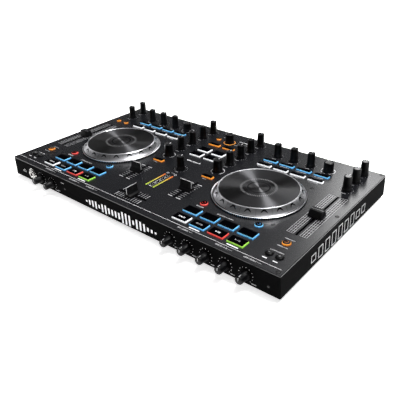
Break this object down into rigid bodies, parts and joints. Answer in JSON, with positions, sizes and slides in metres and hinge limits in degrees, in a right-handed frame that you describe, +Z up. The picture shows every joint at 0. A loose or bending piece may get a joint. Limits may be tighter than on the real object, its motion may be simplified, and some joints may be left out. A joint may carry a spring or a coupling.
{
  "type": "dj controller",
  "caption": "Flat dj controller: jog wheels on both sides of a mixer with turning knobs, sliding faders, lit press keys and front headphone socket.",
  "frame": {"origin": "middle of the whole object, at the underside of its feet", "axes": "+X to the player's right along the case, +Y away from the player, +Z up"},
  "size_m": [0.5132, 0.314, 0.0586],
  "materials": {
    "panel": "satin dark grey, fine grain",
    "case_black": "fine texture",
    "board": "solder resist over laminate",
    "foot_rubber": "matte",
    "jog_chrome": "polished",
    "jog_disc": "black anodised, turned grooves",
    "nickel": "nickel plated",
    "soft_black": "soft-touch",
    "key_blue": "translucent, lit from below",
    "key_orange": "translucent, lit from below",
    "key_white": "translucent, lit from below"
  },
  "bodies": {
    "case": {"bottom_case": "case_black", "foot_front_left": "foot_rubber", "foot_front_right": "foot_rubber", "foot_rear_left": "foot_rubber", "foot_rear_right": "foot_rubber", "headphone_jack": "nickel", "main_board": "board", "rear_connectors": "case_black", "top_panel": "panel"},
    "jog_left": {"jog_ring_left": "jog_chrome", "jog_disc_left": "jog_disc"},
    "jog_right": {"jog_ring_right": "jog_chrome", "jog_disc_right": "jog_disc"},
    "knob_corner_right_1": {"knob_corner_right_1": "soft_black"},
    "knob_corner_right_2": {"knob_corner_right_2": "soft_black"},
    "knob_corner_right_3": {"knob_corner_right_3": "soft_black"},
    "knob_corner_left_1": {"knob_corner_left_1": "soft_black"},
    "knob_corner_left_2": {"knob_corner_left_2": "soft_black"},
    "knob_fx_left_1": {"knob_fx_left_1": "soft_black"},
    "knob_fx_left_2": {"knob_fx_left_2": "soft_black"},
    "knob_fx_left_3": {"knob_fx_left_3": "soft_black"},
    "encoder_fx_left": {"encoder_fx_left": "soft_black"},
    "knob_channel_left_1": {"knob_channel_left_1": "soft_black"},
    "knob_channel_left_2": {"knob_channel_left_2": "soft_black"},
    "knob_channel_left_3": {"knob_channel_left_3": "soft_black"},
    "knob_channel_left_4": {"knob_channel_left_4": "soft_black"},
    "knob_filter_left": {"knob_filter_left": "soft_black"},
    "knob_fx_right_1": {"knob_fx_right_1": "soft_black"},
    "knob_fx_right_2": {"knob_fx_right_2": "soft_black"},
    "knob_fx_right_3": {"knob_fx_right_3": "soft_black"},
    "encoder_fx_right": {"encoder_fx_right": "soft_black"},
    "knob_channel_right_1": {"knob_channel_right_1": "soft_black"},
    "knob_channel_right_2": {"knob_channel_right_2": "soft_black"},
    "knob_channel_right_3": {"knob_channel_right_3": "soft_black"},
    "knob_channel_right_4": {"knob_channel_right_4": "soft_black"},
    "knob_filter_right": {"knob_filter_right": "soft_black"},
    "knob_centre": {"knob_centre": "soft_black"},
    "encoder_browse": {"encoder_browse": "soft_black"},
    "knob_front_left_1": {"knob_front_left_1": "soft_black"},
    "knob_front_left_2": {"knob_front_left_2": "soft_black"},
    "knob_front_right_1": {"knob_front_right_1": "soft_black"},
    "knob_front_right_2": {"knob_front_right_2": "soft_black"},
    "knob_front_right_3": {"knob_front_right_3": "soft_black"},
    "knob_front_right_4": {"knob_front_right_4": "soft_black"},
    "knob_front_right_5": {"knob_front_right_5": "soft_black"},
    "fader_pitch_left": {"fader_pitch_left": "soft_black"},
    "fader_pitch_right": {"fader_pitch_right": "soft_black"},
    "fader_channel_left": {"fader_channel_left": "soft_black"},
    "fader_channel_right": {"fader_channel_right": "soft_black"},
    "crossfader": {"crossfader": "soft_black"},
    "browse_buttons": {"browse_buttons": "key_white"},
    "corner_buttons_left": {"corner_buttons_left": "key_orange"},
    "corner_buttons_right": {"corner_buttons_right": "key_orange"},
    "cue_buttons": {"cue_buttons": "key_orange"},
    "fx_buttons_left": {"fx_buttons_left": "key_blue"},
    "fx_buttons_right": {"fx_buttons_right": "key_blue"},
    "pads_left": {"pads_left": "key_blue"},
    "pads_right": {"pads_right": "key_blue"},
    "transport_left": {"transport_left": "key_white"},
    "transport_right": {"transport_right": "key_white"}
  },
  "joints": [
    {"name": "jog_left_spin", "type": "hinge", "parent": "case", "child": "jog_left", "pos_m": [-0.1386, -0.008, 0.0366], "axis": [0, 0, 1], "continuous": true},
    {"name": "jog_right_spin", "type": "hinge", "parent": "case", "child": "jog_right", "pos_m": [0.1386, -0.008, 0.0366], "axis": [0, 0, 1], "continuous": true},
    {"name": "knob_corner_right_1_turn", "type": "hinge", "parent": "case", "child": "knob_corner_right_1", "pos_m": [0.2287, 0.1317, 0.0366], "axis": [0, 0, 1], "range_deg": [-140, 140]},
    {"name": "knob_corner_right_2_turn", "type": "hinge", "parent": "case", "child": "knob_corner_right_2", "pos_m": [0.2287, 0.1028, 0.0366], "axis": [0, 0, 1], "range_deg": [-140, 140]},
    {"name": "knob_corner_right_3_turn", "type": "hinge", "parent": "case", "child": "knob_corner_right_3", "pos_m": [0.2287, 0.074, 0.0366], "axis": [0, 0, 1], "range_deg": [-140, 140]},
    {"name": "knob_corner_left_1_turn", "type": "hinge", "parent": "case", "child": "knob_corner_left_1", "pos_m": [-0.2287, 0.1317, 0.0366], "axis": [0, 0, 1], "range_deg": [-140, 140]},
    {"name": "knob_corner_left_2_turn", "type": "hinge", "parent": "case", "child": "knob_corner_left_2", "pos_m": [-0.2287, 0.1028, 0.0366], "axis": [0, 0, 1], "range_deg": [-140, 140]},
    {"name": "knob_fx_left_1_turn", "type": "hinge", "parent": "case", "child": "knob_fx_left_1", "pos_m": [-0.1821, 0.1123, 0.0366], "axis": [0, 0, 1], "range_deg": [-140, 140]},
    {"name": "knob_fx_left_2_turn", "type": "hinge", "parent": "case", "child": "knob_fx_left_2", "pos_m": [-0.1531, 0.1123, 0.0366], "axis": [0, 0, 1], "range_deg": [-140, 140]},
    {"name": "knob_fx_left_3_turn", "type": "hinge", "parent": "case", "child": "knob_fx_left_3", "pos_m": [-0.1241, 0.1123, 0.0366], "axis": [0, 0, 1], "range_deg": [-140, 140]},
    {"name": "encoder_fx_left_turn", "type": "hinge", "parent": "case", "child": "encoder_fx_left", "pos_m": [-0.0951, 0.1123, 0.0366], "axis": [0, 0, 1], "continuous": true},
    {"name": "knob_channel_left_1_turn", "type": "hinge", "parent": "case", "child": "knob_channel_left_1", "pos_m": [-0.05, 0.1315, 0.0366], "axis": [0, 0, 1], "range_deg": [-140, 140]},
    {"name": "knob_channel_left_2_turn", "type": "hinge", "parent": "case", "child": "knob_channel_left_2", "pos_m": [-0.05, 0.1027, 0.0366], "axis": [0, 0, 1], "range_deg": [-140, 140]},
    {"name": "knob_channel_left_3_turn", "type": "hinge", "parent": "case", "child": "knob_channel_left_3", "pos_m": [-0.05, 0.0739, 0.0366], "axis": [0, 0, 1], "range_deg": [-140, 140]},
    {"name": "knob_channel_left_4_turn", "type": "hinge", "parent": "case", "child": "knob_channel_left_4", "pos_m": [-0.05, 0.045, 0.0366], "axis": [0, 0, 1], "range_deg": [-140, 140]},
    {"name": "knob_filter_left_turn", "type": "hinge", "parent": "case", "child": "knob_filter_left", "pos_m": [-0.05, 0.015, 0.0366], "axis": [0, 0, 1], "range_deg": [-140, 140]},
    {"name": "knob_fx_right_1_turn", "type": "hinge", "parent": "case", "child": "knob_fx_right_1", "pos_m": [0.0951, 0.1123, 0.0366], "axis": [0, 0, 1], "range_deg": [-140, 140]},
    {"name": "knob_fx_right_2_turn", "type": "hinge", "parent": "case", "child": "knob_fx_right_2", "pos_m": [0.1241, 0.1123, 0.0366], "axis": [0, 0, 1], "range_deg": [-140, 140]},
    {"name": "knob_fx_right_3_turn", "type": "hinge", "parent": "case", "child": "knob_fx_right_3", "pos_m": [0.1531, 0.1123, 0.0366], "axis": [0, 0, 1], "range_deg": [-140, 140]},
    {"name": "encoder_fx_right_turn", "type": "hinge", "parent": "case", "child": "encoder_fx_right", "pos_m": [0.1821, 0.1123, 0.0366], "axis": [0, 0, 1], "continuous": true},
    {"name": "knob_channel_right_1_turn", "type": "hinge", "parent": "case", "child": "knob_channel_right_1", "pos_m": [0.05, 0.1315, 0.0366], "axis": [0, 0, 1], "range_deg": [-140, 140]},
    {"name": "knob_channel_right_2_turn", "type": "hinge", "parent": "case", "child": "knob_channel_right_2", "pos_m": [0.05, 0.1027, 0.0366], "axis": [0, 0, 1], "range_deg": [-140, 140]},
    {"name": "knob_channel_right_3_turn", "type": "hinge", "parent": "case", "child": "knob_channel_right_3", "pos_m": [0.05, 0.0739, 0.0366], "axis": [0, 0, 1], "range_deg": [-140, 140]},
    {"name": "knob_channel_right_4_turn", "type": "hinge", "parent": "case", "child": "knob_channel_right_4", "pos_m": [0.05, 0.045, 0.0366], "axis": [0, 0, 1], "range_deg": [-140, 140]},
    {"name": "knob_filter_right_turn", "type": "hinge", "parent": "case", "child": "knob_filter_right", "pos_m": [0.05, 0.015, 0.0366], "axis": [0, 0, 1], "range_deg": [-140, 140]},
    {"name": "knob_centre_turn", "type": "hinge", "parent": "case", "child": "knob_centre", "pos_m": [0, -0.0125, 0.0366], "axis": [0, 0, 1], "range_deg": [-140, 140]},
    {"name": "encoder_browse_turn", "type": "hinge", "parent": "case", "child": "encoder_browse", "pos_m": [0, 0.1123, 0.0366], "axis": [0, 0, 1], "continuous": true},
    {"name": "knob_front_left_1_turn", "type": "hinge", "parent": "case", "child": "knob_front_left_1", "pos_m": [-0.1821, -0.142, 0.018], "axis": [0, -1, 0], "range_deg": [-140, 140]},
    {"name": "knob_front_left_2_turn", "type": "hinge", "parent": "case", "child": "knob_front_left_2", "pos_m": [-0.1531, -0.142, 0.018], "axis": [0, -1, 0], "range_deg": [-140, 140]},
    {"name": "knob_front_right_1_turn", "type": "hinge", "parent": "case", "child": "knob_front_right_1", "pos_m": [0.0951, -0.142, 0.018], "axis": [0, -1, 0], "range_deg": [-140, 140]},
    {"name": "knob_front_right_2_turn", "type": "hinge", "parent": "case", "child": "knob_front_right_2", "pos_m": [0.1241, -0.142, 0.018], "axis": [0, -1, 0], "range_deg": [-140, 140]},
    {"name": "knob_front_right_3_turn", "type": "hinge", "parent": "case", "child": "knob_front_right_3", "pos_m": [0.1531, -0.142, 0.018], "axis": [0, -1, 0], "range_deg": [-140, 140]},
    {"name": "knob_front_right_4_turn", "type": "hinge", "parent": "case", "child": "knob_front_right_4", "pos_m": [0.1821, -0.142, 0.018], "axis": [0, -1, 0], "range_deg": [-140, 140]},
    {"name": "knob_front_right_5_turn", "type": "hinge", "parent": "case", "child": "knob_front_right_5", "pos_m": [0.2111, -0.142, 0.018], "axis": [0, -1, 0], "range_deg": [-140, 140]},
    {"name": "fader_pitch_left_slide", "type": "slide", "parent": "case", "child": "fader_pitch_left", "axis": [0, 1, 0], "range_m": [-0.0451, 0.0547]},
    {"name": "fader_pitch_right_slide", "type": "slide", "parent": "case", "child": "fader_pitch_right", "axis": [0, 1, 0], "range_m": [-0.0451, 0.0547]},
    {"name": "fader_channel_left_slide", "type": "slide", "parent": "case", "child": "fader_channel_left", "axis": [0, 1, 0], "range_m": [-0.022, 0.022]},
    {"name": "fader_channel_right_slide", "type": "slide", "parent": "case", "child": "fader_channel_right", "axis": [0, 1, 0], "range_m": [-0.022, 0.022]},
    {"name": "crossfader_slide", "type": "slide", "parent": "case", "child": "crossfader", "axis": [1, 0, 0], "range_m": [-0.022, 0.022]},
    {"name": "browse_buttons_press", "type": "slide", "parent": "case", "child": "browse_buttons", "axis": [0, 0, -1], "range_m": [0, 0.001], "stiffness_N_per_m": 2000},
    {"name": "corner_buttons_left_press", "type": "slide", "parent": "case", "child": "corner_buttons_left", "axis": [0, 0, -1], "range_m": [0, 0.001], "stiffness_N_per_m": 2000},
    {"name": "corner_buttons_right_press", "type": "slide", "parent": "case", "child": "corner_buttons_right", "axis": [0, 0, -1], "range_m": [0, 0.001], "stiffness_N_per_m": 2000},
    {"name": "cue_buttons_press", "type": "slide", "parent": "case", "child": "cue_buttons", "axis": [0, 0, -1], "range_m": [0, 0.001], "stiffness_N_per_m": 2000},
    {"name": "fx_buttons_left_press", "type": "slide", "parent": "case", "child": "fx_buttons_left", "axis": [0, 0, -1], "range_m": [0, 0.001], "stiffness_N_per_m": 2000},
    {"name": "fx_buttons_right_press", "type": "slide", "parent": "case", "child": "fx_buttons_right", "axis": [0, 0, -1], "range_m": [0, 0.001], "stiffness_N_per_m": 2000},
    {"name": "pads_left_press", "type": "slide", "parent": "case", "child": "pads_left", "axis": [0, 0, -1], "range_m": [0, 0.001], "stiffness_N_per_m": 2000},
    {"name": "pads_right_press", "type": "slide", "parent": "case", "child": "pads_right", "axis": [0, 0, -1], "range_m": [0, 0.001], "stiffness_N_per_m": 2000},
    {"name": "transport_left_press", "type": "slide", "parent": "case", "child": "transport_left", "axis": [0, 0, -1], "range_m": [0, 0.001], "stiffness_N_per_m": 2000},
    {"name": "transport_right_press", "type": "slide", "parent": "case", "child": "transport_right", "axis": [0, 0, -1], "range_m": [0, 0.001], "stiffness_N_per_m": 2000}
  ]
}
